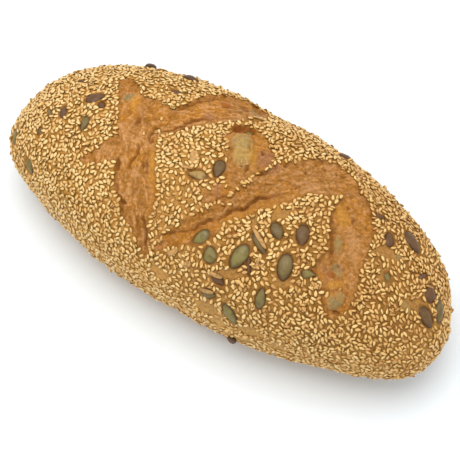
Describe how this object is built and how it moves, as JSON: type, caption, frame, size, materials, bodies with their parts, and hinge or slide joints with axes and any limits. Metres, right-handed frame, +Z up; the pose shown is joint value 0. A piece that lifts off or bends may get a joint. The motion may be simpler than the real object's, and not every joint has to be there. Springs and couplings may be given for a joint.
{
  "type": "rustic seeded bread loaf",
  "caption": "Uncut oval hearth loaf with a golden brown crust, slashed in a zigzag and covered in sesame and pumpkin seeds.",
  "frame": {"origin": "middle of the flat base", "axes": "+Z up, +X along the loaf's length, +Y across it"},
  "size_m": [0.2547, 0.1175, 0.078],
  "materials": {
    "crust": "baked, golden brown, slightly glossy where bare",
    "sesame": "toasted hulled seed, pale golden",
    "pumpkin_seed": "toasted seed, olive green to brown, satin"
  },
  "bodies": {
    "root": {"loaf": "crust"}
  },
  "joints": []
}
